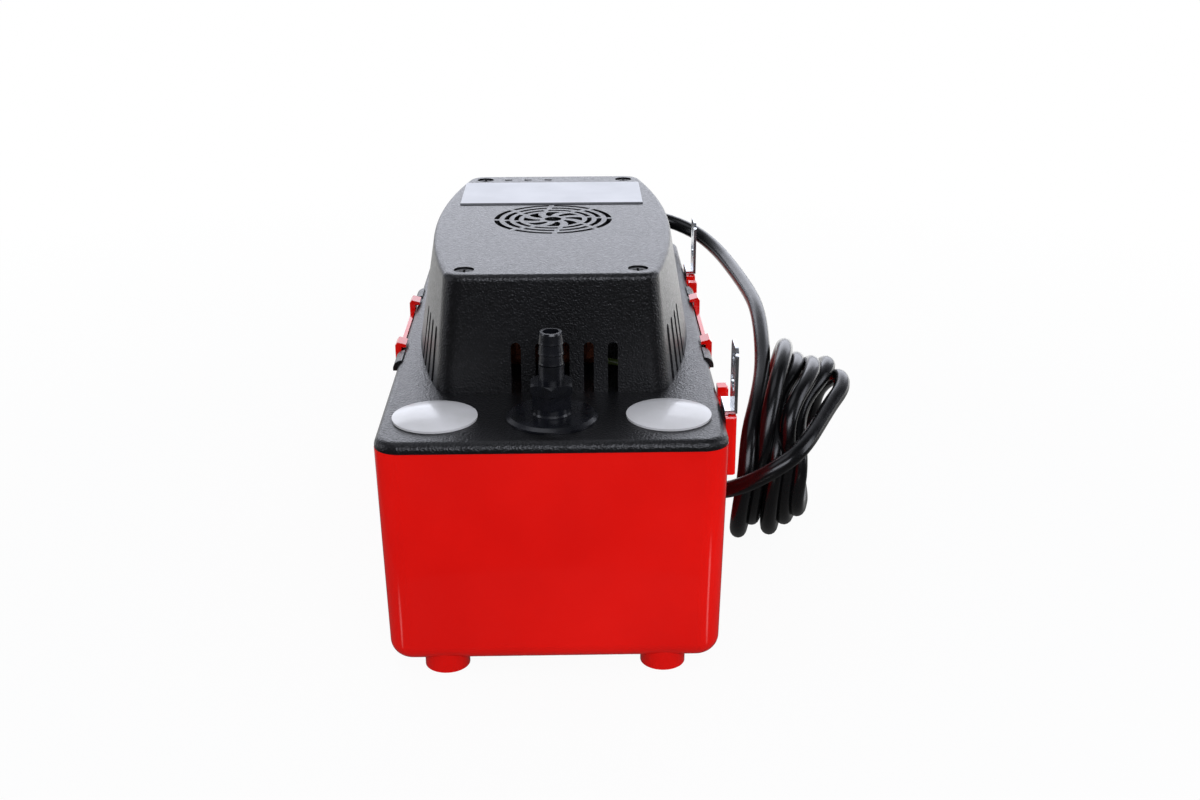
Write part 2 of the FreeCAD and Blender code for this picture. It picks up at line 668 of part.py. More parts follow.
def make_cooling_fan():
    hub = post(4.6, 132.8, 137.8)
    hub = hub.fuse(ring(8.5, 7.2, 133.2, 137.4))
    blades = 7
    for k in range(blades):
        blade = block(4.2, fan_r, -5.4, 5.4, -0.6, 0.6)
        blade.rotate(Vec(0, 0, 0), RIGHT, 22)
        blade = blade.common(ring(fan_r, 4.0, -5, 5))
        blade.translate(Vec(0, 0, 135.3))
        blade.rotate(Vec(0, 0, 0), UP, 360 / blades * k)
        hub = hub.fuse(blade)
    return hub.cut(post(shaft_r, 130, 140))


# Pump: column, volute, cover, impeller and discharge tube
def make_pump_column():
    column = post(column_r, 27.0, lid_top - lid_plate)
    column = column.fuse(post(21, 89.4, lid_top - lid_plate))
    column = column.fuse(post(17.5, 27.0, 29.4))
    for k in range(4):
        web = block(-1, 1, 0, 20, 80, 90)
        web = web.cut(polygon_face([Vec(-2, 14, 79), Vec(-2, 21, 79), Vec(-2, 21, 89)]).extrude(Vec(4, 0, 0)))
        web.rotate(Vec(0, 0, 0), UP, 90 * k)
        column = column.fuse(web)
    column = column.cut(post(column_bore_r, 20, 100))
    for k in range(3):
        drain = bar_x(2.5, 0, 30, 0, 82)
        drain.rotate(Vec(0, 0, 0), UP, 45 + 120 * k)
        column = column.cut(drain)
    for x, y in column_screws_xy:
        column = column.cut(post(bracket_screw_r, 80, 100, x, y))
    return column


def make_volute():
    volute = post(volute_r, volute_z[0], volute_z[1])
    nozzle = bar_y(discharge_r, -36, 0, outlet_x, outlet_z)
    volute = volute.fuse(nozzle)
    volute = volute.cut(post(volute_bore_r, volute_z[0] - 1, volute_z[1] - 2))
    volute = volute.cut(bar_y(discharge_bore_r, -40, 0, outlet_x, outlet_z))
    return volute.cut(post(4.0, 20, 30))


def make_volute_cover():
    plate = post(volute_r, 10.2, volute_z[0])
    plate = plate.cut(post(7.5, 9, 14))
    guard = ring(volute_r - 2, volute_r - 4, 8.9, 10.2)
    for k in range(12):
        gap = block(0, 40, -2.2, 2.2, 8, 10.2)
        gap.rotate(Vec(0, 0, 0), UP, 30 * k)
        guard = guard.cut(gap)
    return plate.fuse(guard)


def make_impeller():
    wheel = post(impeller_r, 22.4, 23.8).fuse(post(5.0, 14.2, 24.4))
    vane = ring(15.0, 13.6, 14.2, 22.5, 0, 15.6).common(block(0, 25, -1, 30, 10, 25))
    vane = vane.common(ring(impeller_r - 0.3, 4.5, 10, 30))
    for k in range(5):
        turned_vane = vane.copy()
        turned_vane.rotate(Vec(0, 0, 0), UP, 72 * k)
        wheel = wheel.fuse(turned_vane)
    return wheel.cut(post(shaft_r, 10, 30))


def make_discharge_tube():
    route = ((outlet_x, -36.0, outlet_z), (outlet_x, -60.0, outlet_z), (0.0, -88.0, outlet_z),
             (0.0, valve_y, outlet_z), (0.0, valve_y, 72.0))
    outer = round_tube(route, discharge_r)[0]
    inner = round_tube(route, discharge_bore_r)[0]
    socket = turned([(0, 66), (discharge_r, 66), (11.5, 71), (11.5, 84), (18, 86.5), (18, 92.6), (15.2, 92.6),
                     (15.2, 88), (9.3, 88), (9.3, 72), (0, 72)], 0, valve_y)
    return outer.fuse(socket).cut(inner)


# Float, rod, lever and switches
def make_float():
    body = block(-26, 26, 46, 88, float_z[0], float_z[1])
    body = body.makeFillet(4, [e for e in body.Edges if e.BoundBox.ZLength > 1])
    body = body.makeFillet(2, [e for e in body.Edges if e.BoundBox.ZLength < 0.01])
    body = body.fuse(post(5, float_z[1] - 1, float_z[1] + 4, 0, rod_y))
    return body.cut(post(rod_r, float_z[0] - 1, float_z[1] + 9, 0, rod_y))


def make_rod_clips():
    clips = []
    for z0, z1, radius in ((20.6, 22.0, 4.0), (46.0, 47.4, 4.0), (114.0, 115.4, 3.0), (120.9, 122.1, 3.0)):
        clips.append(ring(radius, rod_r, z0, z1, 0, rod_y))
    return Part.makeCompound(clips)


def make_switch_bracket():
    plate = block(-20, 20, 19.5, 61, lid_top, lid_top + 1.5)
    for side in (-1, 1):
        x0, x1 = sorted((side * 18.5, side * 20))
        ear = block(x0, x1, 29, 47, lid_top, 121)
        ear = ear.makeFillet(6, [e for e in ear.Edges if e.BoundBox.ZMin > 120.9 and e.BoundBox.XLength > 1])
        plate = plate.fuse(ear)
    plate = plate.cut(bar_x(pin_r, -30, 30, pivot_y, pivot_z))
    for x, y in bracket_screws_xy:
        plate = plate.cut(post(bracket_screw_r, 90, 100, x, y))
    return plate


def make_lever_pin():
    pin = bar_x(pin_r, -21.2, 21.2, pivot_y, pivot_z)
    for side in (-1, 1):
        x0, x1 = sorted((side * 20, side * 21.4))
        pin = pin.fuse(bar_x(2.6, x0, x1, pivot_y, pivot_z))
    return pin


def make_switch_lever():
    under = pivot_z - lever_under
    lever = block(-14.5, 14.5, 32, pivot_y + 6, under, under + lever_sheet)
    lever = lever.fuse(block(-7, 7, pivot_y, 71, under, under + lever_sheet))
    lever = lever.fuse(bar_x(2.6, -17.8, 17.8, pivot_y, pivot_z))
    lever = lever.cut(block(-2.2, 2.2, 63, 72, 110, 120))
    return lever.cut(bar_x(pin_r + 0.06, -19, 19, pivot_y, pivot_z))


def make_switch(x):
    body = block(x - switch_half_x, x + switch_half_x, switch_y[0], switch_y[1], lid_top + 1.5, switch_top)
    body = body.makeFillet(0.8, [e for e in body.Edges if e.BoundBox.ZMin > switch_top - 0.01])
    body = body.cut(post(plunger_r + 0.06, switch_top - 7.4, switch_top + 1, x, plunger_y))
    for y in (31.0, 53.0 - 0.5):
        body = body.cut(bar_x(1.5, x - 8, x + 8, y, 101))
    return body


def make_plungers():
    buttons = []
    dome_z = pivot_z - lever_under - 0.15 - plunger_r
    for x in (-switch_x, switch_x):
        stem = post(plunger_r, switch_top - 4.9, dome_z, x, plunger_y)
        dome = Part.makeSphere(plunger_r, Vec(x, plunger_y, dome_z))
        buttons.append(stem.fuse(dome))
    return Part.makeCompound(buttons)


def make_terminals():
    blades = []
    for x in (-switch_x, switch_x):
        for z in (99.5, 104.5, 109.0):
            blades.append(block(x - 2.4, x + 2.4, switch_y[1], switch_y[1] + 6.5, z, z + 0.8))
    return Part.makeCompound(blades)


def screw(head_r, head_z, thread_r, tip_z, x, y, head_height=2.0):
    body = post(head_r, head_z, head_z + head_height, x, y)
    body = body.fuse(post(thread_r, tip_z, head_z + 0.1, x, y))
    cross = block(x - head_r * 0.6, x + head_r * 0.6, y - 0.45, y + 0.45, head_z + head_height - 1.0, head_z + 9)
    cross = cross.fuse(block(x - 0.45, x + 0.45, y - head_r * 0.6, y + head_r * 0.6, head_z + head_height - 1.0,
                             head_z + 9))
    return body.cut(cross)


# Cord: gland, lead, hank and tail, with the plug on its end
def make_gland():
    wall_outer = 88.6
    sleeve = [(gland_neck_r, 83.9), (7.6, 83.9), (7.6, 85.2), (gland_neck_r, 85.2), (gland_neck_r, wall_outer),
              (7.8, wall_outer), (7.4, wall_outer + 2.2), (5.6, wall_outer + 2.6), (4.4, gland_end_y),
              (cord_r, gland_end_y), (cord_r, 83.9)]
    face = polygon_face([Vec(gland_x + r, y, gland_z) for r, y in sleeve])
    return face.revolve(Vec(gland_x, 0, gland_z), BACK, 360)


def hank_axes():
    side = Vec(hank_yaw, 1, 0)
    side.normalize()
    rise = Vec(hank_lean, 0, 1)
    rise = rise - side * rise.dot(side)
    rise.normalize()
    return side, rise


def hank_circle(turn):
    """Centre and radius of the hank at a number of turns from its start."""
    return hank_middle + hank_step * turn, hank_radius + hank_radius_step * turn


def hank_point(turn):
    side, rise = hank_axes()
    centre, radius = hank_circle(turn)
    angle = 2 * math.pi * turn
    return centre - side * (radius * math.cos(angle)) - rise * (radius * math.sin(angle))


def make_hank():
    side, rise = hank_axes()
    normal = side.cross(rise)
    walls = []
    for grow in (cord_r, -cord_r):
        rings = []
        for turn in (0, hank_turns):
            centre, radius = hank_circle(turn)
            rings.append(Part.Wire(Part.makeCircle(radius + grow, centre, normal)))
        walls.append(Part.makeLoft(rings, True, True))
    return walls[0].cut(walls[1])


def make_plug_parts():
    end = Vec(*tail_route[-1])
    run = end - Vec(*tail_route[-2])
    run.z = 0
    run.normalize()
    turn = math.degrees(math.atan2(-run.x, run.y))
    grip = [(cord_r, 0), (5.0, 0), (6.5, 9), (8.8, 14), (9.2, plug_length), (0, plug_length), (0, 9), (cord_r, 9)]
    face = polygon_face([Vec(r, y, 0) for r, y in grip])
    body = face.revolve(Vec(0, 0, 0), BACK, 360)
    blades = []
    for x in (-6.35, 6.35):
        blades.append(block(x - 0.75, x + 0.75, plug_length, plug_length + 16, -3.2, 3.2))
    blades.append(bar_y(2.4, plug_length, plug_length + 18, 0, 6.2))
    parts = [body, Part.makeCompound(blades)]
    return [placed(shape, end, turn) for shape in parts]


def placed(shape, position, turn):
    moved = shape.copy()
    moved.rotate(Vec(0, 0, 0), UP, turn)
    moved.translate(position)
    return moved


def make_motor_leads():
    """Three insulated wires from the cord end and the switches to the coil."""
    return Part.makeCompound([round_tube(route, wire_r)[0] for route in wire_routes])


def build():
    nodes = {}
    nodes["tank"] = make_tank()
    nodes["lid"] = make_lid()
    nodes["motor_cover"] = make_motor_cover()
    floor_z = cover_top - recess_depth
    nodes["cover_screws"] = Part.makeCompound(
        [screw(3.4, floor_z, cover_shank_r, screw_boss_z + 1.8, x, y, 2.3) for x, y in cover_screw_spots()])
    nodes["inlet_plug_left"] = make_inlet_plug(-inlet_x)
    nodes["inlet_plug_right"] = make_inlet_plug(inlet_x)
    nodes["hanger_front"] = make_hanger(front_strap_y)
    nodes["hanger_rear"] = make_hanger(rear_strap_y)
    nodes["valve_body"] = make_valve_body()
    nodes["valve_barb"] = make_valve_barb()
    nodes["valve_ball"] = Part.makeSphere(3.2, Vec(0, valve_y, 84.0))
    nodes["valve_spring"] = make_valve_spring()
    nodes["valve_seal"] = make_valve_seal()
    nodes["discharge_tube"] = make_discharge_tube()
    nodes["pump_column"] = make_pump_column()
    nodes["volute"] = make_volute()
    nodes["volute_cover"] = make_volute_cover()
    nodes["impeller"] = make_impeller()
    nodes["pump_screws"] = Part.makeCompound(
        [screw(3.0, lid_top, bracket_screw_r, 89.6, x, y) for x, y in column_screws_xy])
    nodes["motor_shaft"] = post(shaft_r, 13.6, 138.0)
    nodes["rotor_core"] = ring(rotor_r, shaft_r, stack_z[0] - 0.5, stack_z[1] + 0.5)
    nodes["stator_core"] = make_stator_core()
    nodes["shading_rings"] = make_shading_rings()
    nodes["bobbin"] = make_bobbin()
    nodes["coil_winding"] = make_coil_winding()
    nodes["lower_bracket"] = make_bracket(lower_bracket_z, (98.0, stack_z[0]), (96.4, 103.0))
    nodes["upper_bracket"] = make_bracket(upper_bracket_z, (stack_z[1], 132.0), (127.0, 132.2))
    nodes["shaft_bushings"] = Part.makeCompound(
        [ring(bushing_r, bushing_bore_r, 96.4, 103.0), ring(bushing_r, bushing_bore_r, 127.0, 132.2)])
    bolt_spots = (-motor_bolt_x, motor_bolt_x)
    nodes["motor_bolts"] = Part.makeCompound(
        [post(motor_bolt_r, 93.5, 134.6, x, 0) for x in bolt_spots])
    nodes["motor_nuts"] = Part.makeCompound(
        [hexagon(7, 132, 135, x, 0).cut(post(motor_bolt_r, 130, 136, x, 0)) for x in bolt_spots])
    nodes["cooling_fan"] = make_cooling_fan()
    nodes["float"] = make_float()
    nodes["float_rod"] = post(rod_r, 20.0, 122.8, 0, rod_y)
    nodes["rod_clips"] = make_rod_clips()
    nodes["switch_bracket"] = make_switch_bracket()
    nodes["bracket_screws"] = Part.makeCompound(
        [screw(2.6, lid_top + 1.5, bracket_screw_r, screw_boss_z + 2, x, y, 1.6) for x, y in bracket_screws_xy])
    nodes["lever_pin"] = make_lever_pin()
    nodes["switch_lever"] = make_switch_lever()
    nodes["pump_switch"] = make_switch(-switch_x)
    nodes["safety_switch"] = make_switch(switch_x)
    nodes["switch_plungers"] = make_plungers()
    nodes["switch_terminals"] = make_terminals()
    nodes["motor_leads"] = make_motor_leads()
    nodes["cord_gland"] = make_gland()
    start = hank_point(0)
    finish = hank_point(hank_turns)
    lead, lead_length, lead_radii = round_tube(lead_route + (tuple(start),), cord_r)
    tail, tail_length, tail_radii = round_tube((tuple(finish),) + tail_route, cord_r)
    nodes["cord_lead"] = lead
    nodes["cord_hank"] = make_hank()
    nodes["cord_tail"] = tail
    nodes["plug_body"], nodes["plug_blades"] = make_plug_parts()
    section = math.pi * cord_r ** 2
    steps = 600
    spots = [hank_point(hank_turns * k / steps) for k in range(steps + 1)]
    coil_length = sum(spots[k].distanceToPoint(spots[k + 1]) for k in range(steps))
    print("hank from", [round(v, 1) for v in start], "to", [round(v, 1) for v in finish])
    print("cord lengths: lead %.0f, hank %.0f, tail %.0f, all %.0f"
          % (lead_length, coil_length, tail_length, lead_length + coil_length + tail_length))
    print("lead volume / section x length: %.4f" % (lead.Volume / section / lead_length))
    print("tail volume / section x length: %.4f" % (tail.Volume / section / tail_length))
    print("lead radii", [round(r, 1) for r in lead_radii])
    print("tail radii", [round(r, 1) for r in tail_radii])
    return nodes


def main():
    os.makedirs("parts", exist_ok=True)
    for name, shape in build().items():
        if not shape.isValid():
            print("not valid:", name)
        shape.exportStep("parts/%s.step" % name)
        print("%-18s %d solid(s) %9.1f mm3" % (name, len(shape.Solids), shape.Volume))


main()
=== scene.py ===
import bmesh
import bpy
import json
import math
from mathutils import Matrix, Vector


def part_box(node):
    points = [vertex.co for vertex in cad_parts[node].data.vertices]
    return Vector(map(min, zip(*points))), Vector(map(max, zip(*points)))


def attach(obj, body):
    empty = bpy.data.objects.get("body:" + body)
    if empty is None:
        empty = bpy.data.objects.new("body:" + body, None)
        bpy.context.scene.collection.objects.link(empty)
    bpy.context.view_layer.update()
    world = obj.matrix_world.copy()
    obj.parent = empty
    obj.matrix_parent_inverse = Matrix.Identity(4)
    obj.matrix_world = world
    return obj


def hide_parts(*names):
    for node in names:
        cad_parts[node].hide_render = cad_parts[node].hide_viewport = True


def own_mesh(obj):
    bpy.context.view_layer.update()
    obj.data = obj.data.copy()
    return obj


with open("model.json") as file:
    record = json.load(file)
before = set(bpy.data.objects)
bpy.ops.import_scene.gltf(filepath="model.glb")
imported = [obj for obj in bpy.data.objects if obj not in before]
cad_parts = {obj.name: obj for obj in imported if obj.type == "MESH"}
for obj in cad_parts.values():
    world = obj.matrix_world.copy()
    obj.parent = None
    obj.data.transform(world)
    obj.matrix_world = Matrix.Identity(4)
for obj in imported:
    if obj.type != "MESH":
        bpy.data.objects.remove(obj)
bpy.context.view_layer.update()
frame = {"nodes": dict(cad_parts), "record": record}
print("frame loaded:", len(frame["nodes"]), "nodes")


# camera, as the photograph's: a 43.5 mm lens that looks down on the front

cameraValues = {
    "lens": 43.506,
    "sensor": 36.0,
    "place": (0.0078, -0.6104, 0.2917),
    "pitchDown": 20.98,
    "yawRight": 1.14,
    "roll": -0.19,
}


def makeCamera(values):
    data = bpy.data.cameras.new("productCamera")
    data.lens = values["lens"]
    data.sensor_width = values["sensor"]
    data.clip_start = 0.01
    camera = bpy.data.objects.new("productCamera", data)
    bpy.context.scene.collection.objects.link(camera)
    yaw = Matrix.Rotation(-math.radians(values["yawRight"]), 4, "Z")
    pitch = Matrix.Rotation(math.radians(90 - values["pitchDown"]), 4, "X")
    roll = Matrix.Rotation(math.radians(values["roll"]), 4, "Z")
    camera.matrix_world = Matrix.Translation(values["place"]) @ yaw @ pitch @ roll
    bpy.context.scene.camera = camera


makeCamera(cameraValues)
print("camera placed")


# materials

def linear(hexColour):
    # sRGB hex to the linear colour that a shader takes
    parts = [int(hexColour[k:k + 2], 16) / 255 for k in (1, 3, 5)]
    return [p / 12.92 if p <= 0.04045 else ((p + 0.055) / 1.055) ** 2.4 for p in parts] + [1.0]


def perMetre(millimetres):
    # texture scale for a pattern with features of this size
    return 1000.0 / millimetres


def addNode(material, kind, inputs=None, **settings):
    made = material.node_tree.nodes.new(kind)
    for name, value in settings.items():
        setattr(made, name, value)
    for socket, value in (inputs or {}).items():
        if isinstance(value, bpy.types.NodeSocket):
            material.node_tree.links.new(value, made.inputs[socket])
        else:
            made.inputs[socket].default_value = value
    return made


def startMaterial(name, values):
    # a new material, its shader with these fixed values, and the place on the object in metres
    material = bpy.data.materials.new(name)
    material.use_nodes = True
    shader = material.node_tree.nodes["Principled BSDF"]
    for socket, value in values.items():
        shader.inputs[socket].default_value = value
    place = addNode(material, "ShaderNodeTexCoord").outputs["Object"]
    return material, shader, place


def feed(material, source, shader, socket):
    material.node_tree.links.new(source, shader.inputs[socket])


def cloudyColour(material, place, dark, light, size, low=0.35, high=0.65):
    # slow change between two close colours, over patches of this size in millimetres
    cloud = addNode(material, "ShaderNodeTexNoise", {"Vector": place, "Scale": perMetre(size), "Detail": 3.0})
    share = addNode(material, "ShaderNodeMapRange",
                    {"Value": cloud.outputs["Fac"], "From Min": low, "From Max": high})
    # inputs 6 and 7 of Mix are its two colours, and output 2 the mixed one
    mixed = addNode(material, "ShaderNodeMix",
                    {0: share.outputs["Result"], 6: linear(dark), 7: linear(light)}, data_type="RGBA")
    return mixed.outputs[2]


def cloudyRoughness(material, place, low, high, size):
    cloud = addNode(material, "ShaderNodeTexNoise", {"Vector": place, "Scale": perMetre(size), "Detail": 4.0})
    spread = addNode(material, "ShaderNodeMapRange",
                     {"Value": cloud.outputs["Fac"], "From Min": 0.3, "From Max": 0.7,
                      "To Min": low, "To Max": high})
    return spread.outputs["Result"]


def bump(material, height, depth, under=None, strength=1.0):
    # depth is in millimetres
    inputs = {"Height": height, "Distance": depth / 1000, "Strength": strength}
    if under is not None:
        inputs["Normal"] = under
    return addNode(material, "ShaderNodeBump", inputs).outputs["Normal"]


def redTankPlastic():
    # glossy injection-moulded ABS: saturated red, soft reflections that bend a little with the mould's skin
    material, shader, place = startMaterial("redTankPlastic", {"IOR": 1.4})
    feed(material, cloudyColour(material, place, "#D60F09", "#E2130C", 70), shader, "Base Color")
    feed(material, cloudyRoughness(material, place, 0.05, 0.1, 24), shader, "Roughness")
    wave = addNode(material, "ShaderNodeTexNoise", {"Vector": place, "Scale": perMetre(45), "Detail": 1.0})
    peel = addNode(material, "ShaderNodeTexNoise", {"Vector": place, "Scale": perMetre(2.6), "Detail": 1.0})
    skin = bump(material, wave.outputs["Fac"], 0.35)
    feed(material, bump(material, peel.outputs["Fac"], 0.002, skin), shader, "Normal")
    return material


def pebbleBlackAbs():
    # spark-textured ABS moulding: a tight pebble grain that turns grey where it mirrors the light
    material, shader, place = startMaterial("pebbleBlackAbs", {"IOR": 1.5})
    feed(material, cloudyColour(material, place, "#060607", "#0A0A0C", 30), shader, "Base Color")
    feed(material, cloudyRoughness(material, place, 0.3, 0.39, 1.6), shader, "Roughness")
    bent = addNode(material, "ShaderNodeTexNoise", {"Vector": place, "Scale": perMetre(1.3), "Detail": 2.0})
    spread = addNode(material, "ShaderNodeVectorMath",
                     {0: bent.outputs["Color"], 1: (0.0006, 0.0006, 0.0006)}, operation="MULTIPLY")
    moved = addNode(material, "ShaderNodeVectorMath", {0: place, 1: spread.outputs[0]}, operation="ADD")
    # the real grain is about 0.5 mm, drawn at 0.8 mm so that it shows
    pebble = addNode(material, "ShaderNodeTexVoronoi",
                     {"Vector": moved.outputs[0], "Scale": perMetre(0.8), "Smoothness": 0.4},
                     feature="SMOOTH_F1")
    fine = addNode(material, "ShaderNodeTexNoise", {"Vector": place, "Scale": perMetre(0.55), "Detail": 2.0})
    grain = bump(material, pebble.outputs["Distance"], 0.14)
    feed(material, bump(material, fine.outputs["Fac"], 0.09, grain), shader, "Normal")
    return material


def whitePolyethylene():
    # moulded white cap: milky, smooth, with a wide soft reflection
    material, shader, place = startMaterial("whitePolyethylene", {"IOR": 1.4})
    feed(material, cloudyColour(material, place, "#BDBCBA", "#C6C5C4", 12), shader, "Base Color")
    feed(material, cloudyRoughness(material, place, 0.14, 0.2, 9), shader, "Roughness")
    wave = addNode(material, "ShaderNodeTexNoise", {"Vector": place, "Scale": perMetre(7), "Detail": 1.0})
    feed(material, bump(material, wave.outputs["Fac"], 0.03), shader, "Normal")
    return material


def zincPlatedSteel():
    # rolled sheet with bright zinc: mirrors the red tank, with faint rolling lines along its length
    material, shader, place = startMaterial("zincPlatedSteel", {"Metallic": 1.0})
    feed(material, cloudyColour(material, place, "#B9BDC1", "#D2D5D8", 5), shader, "Base Color")
    lines = addNode(material, "ShaderNodeMapping", {"Vector": place, "Scale": (1.0, 1.0, 0.06)})
    feed(material, cloudyRoughness(material, lines.outputs[0], 0.16, 0.32, 0.5), shader, "Roughness")
    ridge = addNode(material, "ShaderNodeTexNoise",
                    {"Vector": lines.outputs[0], "Scale": perMetre(0.7), "Detail": 2.0})
    feed(material, bump(material, ridge.outputs["Fac"], 0.012), shader, "Normal")
    return material


def blackGlassNylon():
    # gloss-moulded nylon: deep black with narrow sharp highlights on its edges
    material, shader, place = startMaterial("blackGlassNylon", {"IOR": 1.53})
    feed(material, cloudyColour(material, place, "#090A0D", "#0F1015", 9), shader, "Base Color")
    feed(material, cloudyRoughness(material, place, 0.2, 0.34, 3), shader, "Roughness")
    skin = addNode(material, "ShaderNodeTexNoise", {"Vector": place, "Scale": perMetre(1.8), "Detail": 2.0})
    feed(material, bump(material, skin.outputs["Fac"], 0.012), shader, "Normal")
    return material


def blackOxideSteel():
    # blackened screw steel: dull metal that lights up on the rim of the head
    material, shader, place = startMaterial("blackOxideSteel", {"Metallic": 0.5})
    feed(material, cloudyColour(material, place, "#050505", "#0B0B0C", 1.5), shader, "Base Color")
    feed(material, cloudyRoughness(material, place, 0.42, 0.55, 0.8), shader, "Roughness")
    return material


def turnedStainless():
    # ground stainless bar: clean grey with fine rings from the lathe
    material, shader, place = startMaterial("turnedStainless", {"Metallic": 1.0})
    feed(material, cloudyColour(material, place, "#A9ADB0", "#BEC1C4", 6), shader, "Base Color")
    rings = addNode(material, "ShaderNodeMapping", {"Vector": place, "Scale": (0.1, 0.1, 1.0)})
    feed(material, cloudyRoughness(material, rings.outputs[0], 0.18, 0.34, 0.6), shader, "Roughness")
    return material


def nitrileRubber():
    # moulded seal rubber: soft black with hardly any shine
    material, shader, place = startMaterial("nitrileRubber", {"IOR": 1.5})
    feed(material, cloudyColour(material, place, "#0E0E0F", "#18181A", 4), shader, "Base Color")
    feed(material, cloudyRoughness(material, place, 0.5, 0.66, 1.2), shader, "Roughness")
    dust = addNode(material, "ShaderNodeTexNoise", {"Vector": place, "Scale": perMetre(0.8), "Detail": 3.0})
    feed(material, bump(material, dust.outputs["Fac"], 0.02), shader, "Normal")
    return material


def greyPolypropylene():
    # unpainted pump moulding: waxy mid grey
    material, shader, place = startMaterial("greyPolypropylene", {"IOR": 1.49})
    feed(material, cloudyColour(material, place, "#54585B", "#626669", 18), shader, "Base Color")
    feed(material, cloudyRoughness(material, place, 0.36, 0.5, 4), shader, "Roughness")
    skin = addNode(material, "ShaderNodeTexNoise", {"Vector": place, "Scale": perMetre(1.5), "Detail": 2.0})
    feed(material, bump(material, skin.outputs["Fac"], 0.02), shader, "Normal")
    return material


def laminatedSteel():
    # stack of punched sheets: the edges show as fine level lines, a light bluish oxide between them
    material, shader, place = startMaterial("laminatedSteel", {"Metallic": 1.0})
    feed(material, cloudyColour(material, place, "#6D7276", "#868B90", 8), shader, "Base Color")
    feed(material, cloudyRoughness(material, place, 0.38, 0.55, 2), shader, "Roughness")
    # sheets of 0.5 mm, drawn at 1 mm so that they show
    sheets = addNode(material, "ShaderNodeTexWave",
                     {"Vector": place, "Scale": perMetre(1.0) / 20, "Distortion": 0.0},
                     bands_direction="Z")
    feed(material, bump(material, sheets.outputs["Fac"], 0.12), shader, "Normal")
    return material


def enamelledCopper():
    # wire wound on the bobbin: red-brown varnish over copper, row by row
    material, shader, place = startMaterial("enamelledCopper", {"Metallic": 0.75})
    feed(material, cloudyColour(material, place, "#3F1A10", "#6E3A22", 5), shader, "Base Color")
    feed(material, cloudyRoughness(material, place, 0.26, 0.42, 1.4), shader, "Roughness")
    # wire of 0.5 mm, drawn at 0.9 mm so that it shows
    rows = addNode(material, "ShaderNodeTexWave",
                   {"Vector": place, "Scale": perMetre(0.9) / 20, "Distortion": 0.4, "Detail": 1.0},
                   bands_direction="X")
    feed(material, bump(material, rows.outputs["Fac"], 0.25), shader, "Normal")
    return material


def brassSheet():
    # stamped brass: warm yellow metal, a little dulled
    material, shader, place = startMaterial("brassSheet", {"Metallic": 1.0})
    feed(material, cloudyColour(material, place, "#A98545", "#C6A35E", 3), shader, "Base Color")
    feed(material, cloudyRoughness(material, place, 0.22, 0.38, 0.9), shader, "Roughness")
    return material


def closedCellFoam():
    # moulded foam float: chalky off-white with tiny cells
    material, shader, place = startMaterial("closedCellFoam", {"IOR": 1.4})
    feed(material, cloudyColour(material, place, "#C9C5B8", "#D8D5CA", 10), shader, "Base Color")
    feed(material, cloudyRoughness(material, place, 0.75, 0.9, 3), shader, "Roughness")
    cells = addNode(material, "ShaderNodeTexVoronoi", {"Vector": place, "Scale": perMetre(0.9)})
    feed(material, bump(material, cells.outputs["Distance"], 0.12), shader, "Normal")
    return material


def switchPhenolic():
    # pressed switch case: dense dark brown-black with a dry surface
    material, shader, place = startMaterial("switchPhenolic", {"IOR": 1.55})
    feed(material, cloudyColour(material, place, "#17130F", "#221C17", 5), shader, "Base Color")
    feed(material, cloudyRoughness(material, place, 0.42, 0.58, 1.2), shader, "Roughness")
    return material


def oliveWireInsulation():
    # PVC-insulated hook-up wire: olive green, softly shiny
    material, shader, place = startMaterial("oliveWireInsulation", {"IOR": 1.53})
    feed(material, cloudyColour(material, place, "#3D4A1E", "#52612A", 6), shader, "Base Color")
    feed(material, cloudyRoughness(material, place, 0.34, 0.46, 3), shader, "Roughness")
    return material


def blackPvcJacket():
    # extruded cord jacket: satin black that follows the bend with one long highlight
    material, shader, place = startMaterial("blackPvcJacket", {"IOR": 1.48})
    feed(material, cloudyColour(material, place, "#050506", "#09090A", 14), shader, "Base Color")
    feed(material, cloudyRoughness(material, place, 0.21, 0.28, 5), shader, "Roughness")
    lump = addNode(material, "ShaderNodeTexNoise", {"Vector": place, "Scale": perMetre(9), "Detail": 1.0})
    feed(material, bump(material, lump.outputs["Fac"], 0.05), shader, "Normal")
    return material


def whiteLabelFilm(values):
    # bare polyester label: flat white paper tone, with painted shade: a dark band along its near edge
    material, shader, place = startMaterial("whiteLabelFilm", {"IOR": 1.38, "Roughness": 0.7})
    paper = cloudyColour(material, place, "#D2D3D5", "#DADBDD", 20)
    apart = addNode(material, "ShaderNodeSeparateXYZ", {"Vector": place})
    # painted shade: the band along the near edge is coloured dark
    nearEdgeShade = addNode(material, "ShaderNodeMath",
                     {0: apart.outputs["Y"], 1: values["near"] + values["nearEdgeShade"]}, operation="LESS_THAN")
    shadedEdge = addNode(material, "ShaderNodeMix",
                    {0: nearEdgeShade.outputs[0], 6: paper, 7: linear("#2A2B30")}, data_type="RGBA")
    feed(material, shadedEdge.outputs[2], shader, "Base Color")
    fibre = addNode(material, "ShaderNodeTexNoise", {"Vector": place, "Scale": perMetre(3), "Detail": 2.0})
    feed(material, bump(material, fibre.outputs["Fac"], 0.02), shader, "Normal")
    return material


finishes = {
    "red_plastic": redTankPlastic(),
    "black_abs": pebbleBlackAbs(),
    "black_screws": blackOxideSteel(),
    "white_plastic": whitePolyethylene(),
    "zinc_steel": zincPlatedSteel(),
    "black_nylon": blackGlassNylon(),
    "stainless": turnedStainless(),
    "rubber": nitrileRubber(),
    "grey_plastic": greyPolypropylene(),
    "silicon_steel": laminatedSteel(),
    "copper": enamelledCopper(),
    "bronze": brassSheet(),
    "float_foam": closedCellFoam(),
    "switch_plastic": switchPhenolic(),
    "lead_insulation": oliveWireInsulation(),
    "cord_jacket": blackPvcJacket(),
}

